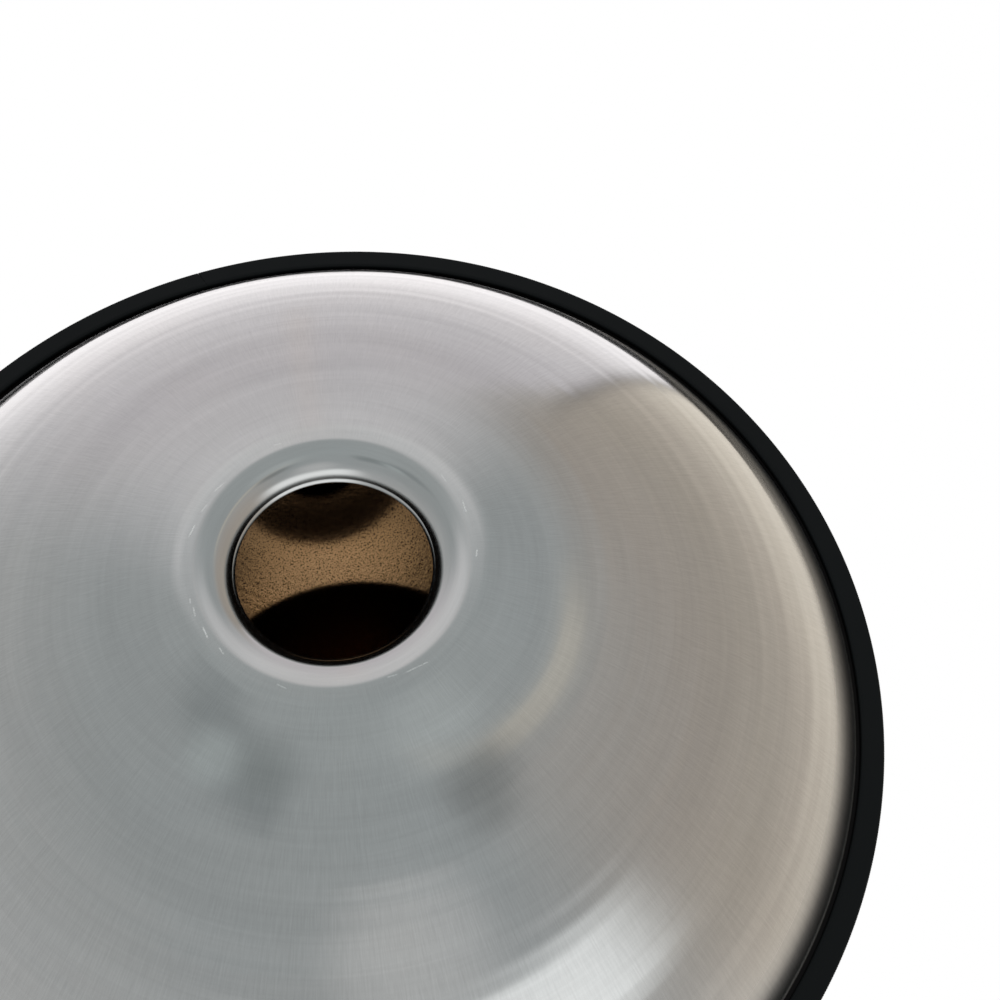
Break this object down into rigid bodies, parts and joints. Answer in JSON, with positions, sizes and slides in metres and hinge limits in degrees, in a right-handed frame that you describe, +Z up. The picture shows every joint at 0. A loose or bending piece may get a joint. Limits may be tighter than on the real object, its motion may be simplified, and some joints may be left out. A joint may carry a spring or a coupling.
{
  "type": "handpan",
  "caption": "Handpan: two dished steel shells glued at a flanged rim, with hammered tone fields and a domed ding on top, a round port below and a ribbed rubber edging.",
  "frame": {"origin": "middle of the resting ring round the port, where the pan stands in its playing position", "axes": "+Z up along the axis of the shells, from the port to the ding; +Y towards the player, next to the lowest tone field"},
  "size_m": [0.536, 0.536, 0.2689],
  "materials": {
    "stainless_sheet": "brushed round and outwards, with a light bronze patina inside",
    "adhesive": "cured, dull",
    "edge_rubber": "matt black with fine ribs across",
    "clip_steel": "plain rolled strip"
  },
  "bodies": {
    "root": {"lower_shell": "stainless_sheet", "upper_shell": "stainless_sheet", "bond_ring": "adhesive", "rim_trim": "edge_rubber", "trim_core": "clip_steel"}
  },
  "joints": []
}
